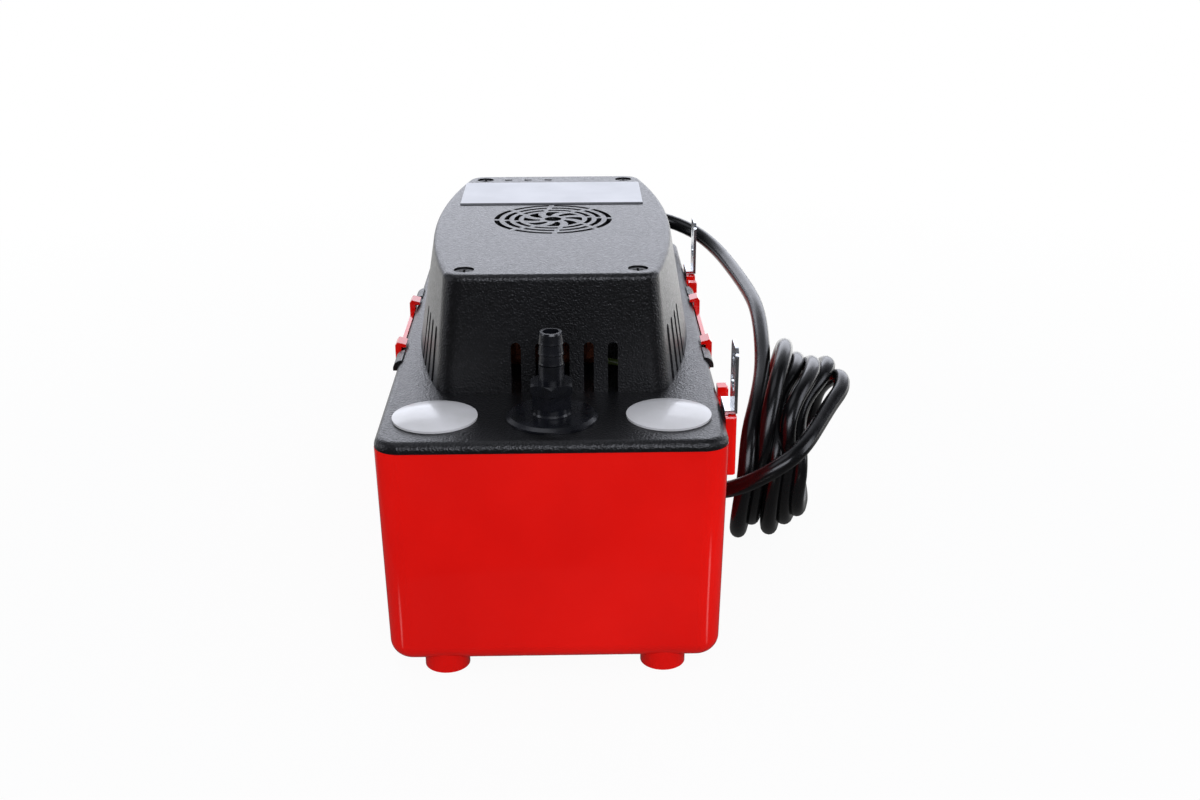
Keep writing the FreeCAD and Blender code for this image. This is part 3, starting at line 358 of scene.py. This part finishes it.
for part in frame["record"]["subparts"]:
    mesh = frame["nodes"][part["node"]].data
    mesh.materials.clear()
    mesh.materials.append(finishes[part["material_slot"]])
print("materials on the carried-over parts")


# pieces

def finishPiece(shape, name, body, slot, sharpAngle=35.0):
    # turns a bmesh into an object at the origin that rides on a body
    bmesh.ops.remove_doubles(shape, verts=shape.verts, dist=0.000001)
    bmesh.ops.recalc_face_normals(shape, faces=shape.faces)
    for face in shape.faces:
        face.smooth = True
    mesh = bpy.data.meshes.new(name)
    shape.to_mesh(mesh)
    shape.free()
    mesh.set_sharp_from_angle(angle=math.radians(sharpAngle))
    piece = bpy.data.objects.new(name, mesh)
    bpy.context.scene.collection.objects.link(piece)
    mesh.materials.append(finishes[slot])
    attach(piece, body)
    return piece


def addTurned(shape, profile, origin, direction, steps=48):
    # profile holds (distance along the axis, radius) in millimetres, turned once round the axis
    points = [shape.verts.new((radius / 1000, 0, along / 1000)) for along, radius in profile]
    outline = [shape.edges.new(pair) for pair in zip(points, points[1:])]
    bmesh.ops.spin(shape, geom=points + outline, cent=(0, 0, 0), axis=(0, 0, 1), angle=math.tau,
                   steps=steps, use_merge=True)
    turn = Vector(direction).to_track_quat("Z", "Y").to_matrix().to_4x4()
    bmesh.ops.transform(shape, matrix=Matrix.Translation(origin) @ turn, verts=shape.verts)


# power cord: out of the strain relief, over the back, down into the hank, round its waist and to the plug

cordValues = {
    "diameter": 0.007,
    "length": 1.80,
    "bevelSteps": 6,
    "curveSteps": 4,
    "hankTurns": 4.8,
    "pointsPerTurn": 20,
    "hankMiddle": (0.0876, -0.019, 0.0469),
    "hankStep": (0.0068, 0.0003, -0.0008),
    "hankRadius": 0.0439,
    "hankRadiusStep": -0.0024,
    "hankYaw": 0.2,
    "hankLean": 0.167,
    "exit": (0.030, 0.106, 0.113),
    # how far each quarter of a turn strays from a neat coil, in mm: front, bottom, back and top
    "stray": [(0, 0, 0), (0.6, -4, 3.3), (0, 4, 0), (0, 0, -0.5),
              (-1, 4, 0), (-0.3, 0, 6.3), (0, 3, 0), (0, 5, -6),
              (-2, 0, 0), (0.2, -2, -1), (0, 4, 0), (-0.5, -4, -1.3),
              (-3.5, 2, 0), (0.2, 0, 1.5), (0, 2, 0), (1.4, 6, -0.8),
              (-5, 0, 0), (-1.6, -2, 5.5), (-8.5, -8, 0), (0, -1, -1.3), (-1, 0, 0)],
    # how far the wrap pulls each quarter in between its two ends, in mm
    "squeeze": [(0, 0, 0), (0, 0, 0), (0, 0, 0), (-1, 0, 0),
                (0, 0, 0), (0, 0, 0), (0, 0, 0), (-3.5, 8, 0),
                (0, 0, 0), (0, 0, 0), (-1, 0, 0), (-6, -3, 0),
                (0, 0, 0), (0, 0, 0), (-3, -1, -1), (-7, 4, -2),
                (0, 0, 0), (-2.5, 0, 0), (-4, -2, -1), (0, 0, 0)],
}

leadRoute = [
    (0.030, 0.085, 0.113), (0.030, 0.110, 0.113), (0.038, 0.127, 0.1115), (0.0555, 0.135, 0.108),
    (0.0729, 0.127, 0.1025), (0.0828, 0.108, 0.0975), (0.0881, 0.082, 0.0945), (0.0918, 0.055, 0.0926),
    (0.0935, 0.030, 0.091), (0.0928, 0.006, 0.085), (0.0907, -0.016, 0.0777), (0.0863, -0.037, 0.0719),
    (0.0808, -0.053, 0.0623)]

tailRoute = [
    (0.1173, -0.0380, 0.0695), (0.1108, -0.0494, 0.0657), (0.1040, -0.0619, 0.0621),
    (0.0974, -0.0695, 0.0587), (0.0894, -0.0728, 0.0545), (0.0806, -0.0721, 0.0490),
    (0.0732, -0.0679, 0.0440), (0.0685, -0.0605, 0.0398), (0.0667, -0.049, 0.0357),
    (0.0667, -0.032, 0.028), (0.068, -0.010, 0.019), (0.071, 0.012, 0.010),
    (0.075, 0.035, 0.0043), (0.0775, 0.062, 0.0037), (0.0775, 0.090, 0.0037), (0.074, 0.116, 0.0037),
    (0.064, 0.137, 0.0037), (0.047, 0.150, 0.0037), (0.030, 0.155, 0.0048), (0.016, 0.156, 0.008),
    (0.004, 0.156, 0.0094)]


def hankPoint(values, turn):
    side = Vector((values["hankYaw"], 1, 0)).normalized()
    rise = Vector((values["hankLean"], 0, 1))
    rise = (rise - side * rise.dot(side)).normalized()
    radius = values["hankRadius"] + values["hankRadiusStep"] * turn
    centre = Vector(values["hankMiddle"]) + Vector(values["hankStep"]) * turn
    angle = math.tau * turn
    quarter = math.floor(turn * 4)
    share = turn * 4 - quarter
    stray = Vector(values["stray"][quarter]).lerp(Vector(values["stray"][quarter + 1]),
                                                  share * share * (3 - 2 * share))
    stray += Vector(values["squeeze"][quarter]) * math.sin(math.pi * share) ** 2
    return centre + stray / 1000 - side * (radius * math.cos(angle)) - rise * (radius * math.sin(angle))


def makeCord(values):
    steps = round(values["hankTurns"] * values["pointsPerTurn"])
    turns = [values["hankTurns"] * k / steps for k in range(steps + 1)]
    route = [Vector(p) for p in leadRoute]
    route += [hankPoint(values, turn) for turn in turns]
    route += [Vector(p) for p in tailRoute]
    data = bpy.data.curves.new("powerCord", "CURVE")
    data.dimensions = "3D"
    data.bevel_depth = values["diameter"] / 2
    data.bevel_resolution = values["bevelSteps"]
    data.resolution_u = values["curveSteps"]
    data.use_fill_caps = True
    line = data.splines.new("NURBS")
    line.points.add(len(route) - 1)
    for point, spot in zip(line.points, route):
        point.co = (*spot, 1.0)
    line.order_u = 3
    line.use_endpoint_u = True
    cord = bpy.data.objects.new("powerCord", data)
    bpy.context.scene.collection.objects.link(cord)
    data.materials.append(finishes["cord_jacket"])
    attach(cord, "housing")
    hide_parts("cord_lead", "cord_hank", "cord_tail")
    return cord


powerCord = makeCord(cordValues)

plugValues = {
    "start": (0.004, 0.156, 0.0094),
    "towards": (-1, 0, 0),
    "length": 30.0,
    "ribs": 4,
    "ribPitch": 2.1,
}


def makePlugGrip(values):
    # moulded-on grip: ribbed sleeve, waist and a blunt nose with three finger grooves
    profile = [(0.0, 3.5), (0.0, 4.8)]
    for rib in range(values["ribs"]):
        along = rib * values["ribPitch"]
        swell = 0.35 * rib
        profile += [(along + 0.3, 4.9 + swell), (along + 1.2, 4.9 + swell), (along + 1.5, 4.0 + swell),
                    (along + 1.9, 4.0 + swell)]
    profile += [(9.0, 6.3), (11.0, 7.2), (14.0, 8.7)]
    for groove in range(3):
        along = 16.5 + 3.2 * groove
        profile += [(along, 9.0), (along + 0.5, 8.6), (along + 1.1, 8.6), (along + 1.6, 9.0)]
    profile += [(28.8, 9.2), (29.6, 8.9), (values["length"], 8.2), (values["length"], 0.0)]
    shape = bmesh.new()
    addTurned(shape, profile, values["start"], values["towards"])
    grip = finishPiece(shape, "plugGrip", "housing", "cord_jacket")
    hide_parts("plug_body")
    return grip


plugGrip = makePlugGrip(plugValues)

reliefValues = {
    "wall": (0.030, 0.0839, 0.113),
    "towards": (0, 1, 0),
    "end": 22.1,
    "segments": 5,
}


def makeStrainRelief(values):
    # snap-in sleeve: inner flange, waist through the wall, outer flange and a tapered, ribbed tail
    profile = [(0.0, 3.5), (0.0, 7.6), (1.3, 7.6), (1.3, 6.0), (4.7, 6.0), (4.7, 7.8), (5.0, 8.0), (6.6, 7.7),
               (7.0, 7.2), (7.2, 5.4)]
    pitch = (values["end"] - 8.0) / values["segments"]
    for segment in range(values["segments"]):
        along = 8.0 + pitch * segment
        radius = 5.8 - 0.2 * segment
        profile += [(along, radius - 0.6), (along + 0.3, radius), (along + pitch * 0.62, radius - 0.08),
                    (along + pitch * 0.75, radius - 0.62)]
    profile += [(values["end"] - 0.2, 4.5), (values["end"], 4.3), (values["end"], 3.5), (0.0, 3.5)]
    shape = bmesh.new()
    addTurned(shape, profile, values["wall"], values["towards"])
    relief = finishPiece(shape, "strainRelief", "housing", "rubber")
    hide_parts("cord_gland")
    return relief


strainRelief = makeStrainRelief(reliefValues)

print("cord, plug and strain relief made")


# bare label on the cover's top

labelValues = {
    "left": -0.0417,
    "right": 0.0400,
    "near": 0.0262,
    "far": 0.0713,
    "thickness": 0.0003,
    "sunk": 0.00005,
    "corner": 0.0012,
    # width of the painted shade along the label's near edge
    "nearEdgeShade": 0.0032,
}


def makeLabel(values):
    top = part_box("motor_cover")[1].z
    shape = bmesh.new()
    bmesh.ops.create_cube(shape, size=1.0)
    middle = Vector(((values["left"] + values["right"]) / 2, (values["near"] + values["far"]) / 2,
                     top + values["thickness"] / 2 - values["sunk"]))
    size = Vector((values["right"] - values["left"], values["far"] - values["near"], values["thickness"]))
    bmesh.ops.transform(shape, matrix=Matrix.Translation(middle) @ Matrix.Diagonal((*size, 1.0)),
                        verts=shape.verts)
    upright = [e for e in shape.edges if abs(e.verts[0].co.z - e.verts[1].co.z) > 0.0001]
    bmesh.ops.bevel(shape, geom=upright, offset=values["corner"], affect="EDGES", segments=5, profile=0.5,
                    material=-1)
    label = finishPiece(shape, "labelPlate", "housing", "white_plastic")
    label.data.materials.clear()
    label.data.materials.append(whiteLabelFilm(values))


makeLabel(labelValues)
print("label laid on the cover")


# three shallow square pads by the cover's rear edge, where the mould's pins pressed

padValues = {
    "places": (-0.0220, -0.0127, -0.0031),
    "row": 0.0790,
    "side": 0.0034,
    "proud": 0.00025,
    "edge": 0.0002,
}


def makePads(values):
    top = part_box("motor_cover")[1].z
    shape = bmesh.new()
    for along in values["places"]:
        made = bmesh.ops.create_cube(shape, size=1.0)
        size = Matrix.Diagonal((values["side"], values["side"], values["proud"] * 2, 1.0))
        bmesh.ops.transform(shape, matrix=Matrix.Translation((along, values["row"], top)) @ size,
                            verts=made["verts"])
    bmesh.ops.bevel(shape, geom=list(shape.edges), offset=values["edge"], affect="EDGES", segments=2,
                    profile=0.5, material=-1)
    finishPiece(shape, "mouldPads", "housing", "black_abs")


makePads(padValues)
print("pads laid on the cover")


# check valve's spring, a helix wound at one fixed length; the real spring shortens as the ball lifts

springValues = {
    "axis": (0.0, -0.115),
    "foot": 0.0878,
    "height": 0.0088,
    "turns": 4,
    "coilRadius": 0.0026,
    "wireRadius": 0.00035,
    "wireSides": 10,
    "stepsPerTurn": 36,
    "shortened": 0.65,
}


def makeSpring(values):
    steps = values["turns"] * values["stepsPerTurn"]
    shape = bmesh.new()
    bmesh.ops.create_circle(shape, segments=values["wireSides"], radius=values["wireRadius"])
    upright = Matrix.Rotation(math.radians(90), 4, "X")
    start = Matrix.Translation((values["coilRadius"], 0, values["foot"])) @ upright
    bmesh.ops.transform(shape, matrix=start, verts=shape.verts)
    bmesh.ops.spin(shape, geom=list(shape.verts) + list(shape.edges), cent=(0, 0, 0), axis=(0, 0, 1),
                   dvec=(0, 0, values["height"] / steps), angle=math.tau * values["turns"], steps=steps)
    ends = [edge for edge in shape.edges if edge.is_boundary]
    bmesh.ops.holes_fill(shape, edges=ends)
    bmesh.ops.translate(shape, vec=(*values["axis"], 0), verts=shape.verts)
    spring = finishPiece(shape, "valveSpring", "check_valve", "stainless")
    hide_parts("valve_spring")
    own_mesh(spring)


makeSpring(springValues)
print("spring wound")


# floor, lamps and world

studioValues = {
    "floorHalf": 4.0,
    "floorShade": "#C4C4C4",
    "floorColour": "#C8C8C8",
    "floorPatch": 300,
    "glowNear": 0.95,
    "glowRadius": (0.25, 0.7),
    # the floor's painted reflections, seen only in reflections: dark in front, white behind, brighter to the
    # right, a faint round glow under the object and a glowing strip from each front corner for the painted
    # highlight
    "mirrorFrom": -0.04,
    "mirrorTo": 0.24,
    "mirrorDark": 0.06,
    "mirrorRight": 1.2,
    "rightFrom": (0.03, 0.09),
    "rightBehind": (0.2, 0.4),
    "underGlow": (0.214, 0.1),
    "stripCorner": (0.057, -0.133),
    "stripAngle": (-0.7, 0.15),
    "stripReach": (0.074, 0.114),
    "stripFade": 0.04,
    "stripRise": (0.012, 0.03),
    "stripLevel": 2.6,
    "ambient": 0.66,
    "skyFrom": (0.3, 0.8),
    "cool": "#F1F4FF",
    "backBox": {"place": (0.15, 1.5, 0.68), "aim": (0.0, 0.0, 0.12), "size": (2.4, 0.85), "watts": 13.0},
    "topBox": {"place": (-0.35, -0.1, 1.5), "aim": (0.0, 0.0, 0.08), "size": (1.0, 0.8), "watts": 2.5},
    "frontBox": {"place": (0.35, -1.5, 0.9), "aim": (0.0, 0.0, 0.06), "size": (1.3, 0.7), "watts": 14.3},
    "leftBox": {"place": (-1.25, -0.2, 0.45), "aim": (0.0, -0.1, 0.08), "size": (0.4, 1.0), "watts": 3.0},
    "rightBox": {"place": (1.25, -0.1, 0.45), "aim": (0.0, -0.1, 0.08), "size": (0.4, 1.0), "watts": 3.8},
}


def makeFloor(values):
    shape = bmesh.new()
    bmesh.ops.create_grid(shape, x_segments=1, y_segments=1, size=values["floorHalf"])
    mesh = bpy.data.meshes.new("paleFloor")
    shape.to_mesh(mesh)
    shape.free()
    floor = bpy.data.objects.new("paleFloor", mesh)
    bpy.context.scene.collection.objects.link(floor)
    material, shader, place = startMaterial("paperSweep", {"Roughness": 0.9})
    colour = cloudyColour(material, place, values["floorShade"], values["floorColour"], values["floorPatch"])
    feed(material, colour, shader, "Base Color")
    path = addNode(material, "ShaderNodeLightPath")
    # white to the camera, fully so far from the object, while near it the paper keeps the shadow
    reach = addNode(material, "ShaderNodeVectorMath", {0: place}, operation="LENGTH")
    near, far = values["glowRadius"]
    white = addNode(material, "ShaderNodeMapRange",
                    {"Value": reach.outputs["Value"], "From Min": near, "From Max": far,
                     "To Min": values["glowNear"], "To Max": 1.0})
    seen = addNode(material, "ShaderNodeMath",
                   {0: path.outputs["Is Camera Ray"], 1: white.outputs["Result"]}, operation="MULTIPLY")
    # painted reflection: in reflections only, the floor glows white behind the object, brightest to the
    # right, and is painted dark in front of it
    apart = addNode(material, "ShaderNodeSeparateXYZ", {"Vector": place})
    behind = addNode(material, "ShaderNodeMapRange",
                     {"Value": apart.outputs["Y"], "From Min": values["mirrorFrom"],
                      "From Max": values["mirrorTo"], "To Min": values["mirrorDark"]})
    rightward = addNode(material, "ShaderNodeMapRange",
                        {"Value": apart.outputs["X"], "From Min": values["rightFrom"][0],
                         "From Max": values["rightFrom"][1], "To Max": values["mirrorRight"]})
    farther = addNode(material, "ShaderNodeMapRange",
                      {"Value": apart.outputs["Y"], "From Min": values["rightBehind"][0],
                       "From Max": values["rightBehind"][1]})
    # multiply-add: a painted reflection of the right's light, far behind, on top of the painted white behind
    paper = addNode(material, "ShaderNodeMath",
                    {0: rightward.outputs[0], 1: farther.outputs[0], 2: behind.outputs[0]},
                    operation="MULTIPLY_ADD")
    # painted reflection: a faint round glow on the floor under the object, seen only in reflections
    underGlowRadius, underGlowLevel = values["underGlow"]
    inside = addNode(material, "ShaderNodeMath", {0: reach.outputs["Value"], 1: underGlowRadius},
                     operation="LESS_THAN")
    underGlow = addNode(material, "ShaderNodeMath", {0: inside.outputs[0], 1: underGlowLevel}, operation="MULTIPLY")
    # painted highlight: a narrow strip of glow on the floor, seen only in reflections, runs out from each
    # front corner to draw the thin highlight on the tank's corner
    sideways = addNode(material, "ShaderNodeMath", {0: apart.outputs["X"]}, operation="ABSOLUTE")
    cornerX, cornerY = values["stripCorner"]
    outward = addNode(material, "ShaderNodeMath", {0: sideways.outputs[0], 1: cornerX}, operation="SUBTRACT")
    onward = addNode(material, "ShaderNodeMath", {0: apart.outputs["Y"], 1: cornerY}, operation="SUBTRACT")
    angle = addNode(material, "ShaderNodeMath", {0: onward.outputs[0], 1: outward.outputs[0]},
                    operation="ARCTAN2")
    fromMiddle = addNode(material, "ShaderNodeMath", {0: angle.outputs[0], 1: -values["stripAngle"][0]},
                         operation="ADD")
    off = addNode(material, "ShaderNodeMath", {0: fromMiddle.outputs[0]}, operation="ABSOLUTE")
    along = addNode(material, "ShaderNodeMapRange",
                    {"Value": off.outputs[0], "From Max": values["stripAngle"][1],
                     "To Min": 1.0, "To Max": 0.0},
                    interpolation_type="SMOOTHSTEP")
    fromCorner = addNode(material, "ShaderNodeCombineXYZ", {0: outward.outputs[0], 1: onward.outputs[0]})
    distance = addNode(material, "ShaderNodeVectorMath", {0: fromCorner.outputs[0]}, operation="LENGTH")
    end = addNode(material, "ShaderNodeMapRange",
                  {"Value": apart.outputs["X"], "From Min": -0.01, "From Max": 0.01,
                   "To Min": values["stripReach"][0], "To Max": values["stripReach"][1]})
    left = addNode(material, "ShaderNodeMath", {0: end.outputs[0], 1: distance.outputs["Value"]},
                   operation="SUBTRACT")
    short = addNode(material, "ShaderNodeMapRange",
                    {"Value": left.outputs[0], "From Max": values["stripFade"]},
                    interpolation_type="SMOOTHSTEP")
    strip = addNode(material, "ShaderNodeMath", {0: along.outputs[0], 1: short.outputs[0]},
                    operation="MULTIPLY")
    rising = addNode(material, "ShaderNodeMapRange",
                     {"Value": distance.outputs["Value"], "From Min": values["stripRise"][0],
                      "From Max": values["stripRise"][1], "To Max": values["stripLevel"]})
    bright = addNode(material, "ShaderNodeMath", {0: strip.outputs[0], 1: rising.outputs[0]},
                     operation="MULTIPLY")
    # painted reflection: the floor's glow for reflections is the painted levels or the painted corner strip,
    # whichever is brighter
    plain = addNode(material, "ShaderNodeMath", {0: paper.outputs[0], 1: underGlow.outputs[0]},
                    operation="MAXIMUM")
    paintedMirror = addNode(material, "ShaderNodeMath", {0: plain.outputs[0], 1: bright.outputs[0]},
                   operation="MAXIMUM")
    level = addNode(material, "ShaderNodeMix",
                    {0: path.outputs["Is Glossy Ray"], 2: 1.0, 3: paintedMirror.outputs[0]}, data_type="FLOAT")
    glow = addNode(material, "ShaderNodeEmission", {"Color": (1, 1, 1, 1), "Strength": level.outputs[0]})
    share = addNode(material, "ShaderNodeMath",
                    {0: seen.outputs[0], 1: path.outputs["Is Glossy Ray"]}, operation="MAXIMUM")
    mixed = addNode(material, "ShaderNodeMixShader",
                    {0: share.outputs[0], 1: shader.outputs[0], 2: glow.outputs[0]})
    feed(material, mixed.outputs[0], material.node_tree.nodes["Material Output"], "Surface")
    mesh.materials.append(material)


def makeSoftBox(name, values, tint):
    data = bpy.data.lights.new(name, "AREA")
    data.shape = "RECTANGLE"
    data.size, data.size_y = values["size"]
    data.energy = values["watts"]
    data.color = linear(tint)[:3]
    lamp = bpy.data.objects.new(name, data)
    bpy.context.scene.collection.objects.link(lamp)
    away = Vector(values["place"]) - Vector(values["aim"])
    turn = away.to_track_quat("Z", "Y").to_matrix().to_4x4()
    lamp.matrix_world = Matrix.Translation(values["place"]) @ turn


def makeWorld(values):
    # white to the camera; in reflections white behind the object and dim on the camera's side
    world = bpy.data.worlds.new("studioWorld")
    bpy.context.scene.world = world
    world.use_nodes = True
    sky = world.node_tree.nodes["Background"]
    path = addNode(world, "ShaderNodeLightPath")
    direction = addNode(world, "ShaderNodeTexCoord").outputs["Generated"]
    apart = addNode(world, "ShaderNodeSeparateXYZ", {"Vector": direction})
    behind = addNode(world, "ShaderNodeMapRange",
                     {"Value": apart.outputs["Y"], "From Min": values["skyFrom"][0],
                      "From Max": values["skyFrom"][1], "To Min": values["mirrorDark"]})
    seen = addNode(world, "ShaderNodeMath",
                   {0: path.outputs["Is Camera Ray"], 1: path.outputs["Is Transmission Ray"]},
                   operation="MAXIMUM")
    # Mix inputs 2 and 3 are its two numbers
    lit = addNode(world, "ShaderNodeMix",
                  {0: path.outputs["Is Glossy Ray"], 2: values["ambient"], 3: behind.outputs["Result"]},
                  data_type="FLOAT")
    strength = addNode(world, "ShaderNodeMath", {0: seen.outputs[0], 1: lit.outputs[0]}, operation="MAXIMUM")
    tint = addNode(world, "ShaderNodeMix",
                   {0: seen.outputs[0], 6: linear(values["cool"]), 7: (1, 1, 1, 1)}, data_type="RGBA")
    feed(world, tint.outputs[2], sky, "Color")
    feed(world, strength.outputs[0], sky, "Strength")


makeFloor(studioValues)
for boxName in ("backBox", "topBox", "frontBox", "leftBox", "rightBox"):
    makeSoftBox(boxName, studioValues[boxName], studioValues["cool"])
makeWorld(studioValues)
bpy.context.scene.view_settings.view_transform = "Standard"
print("floor, lamps and world set")
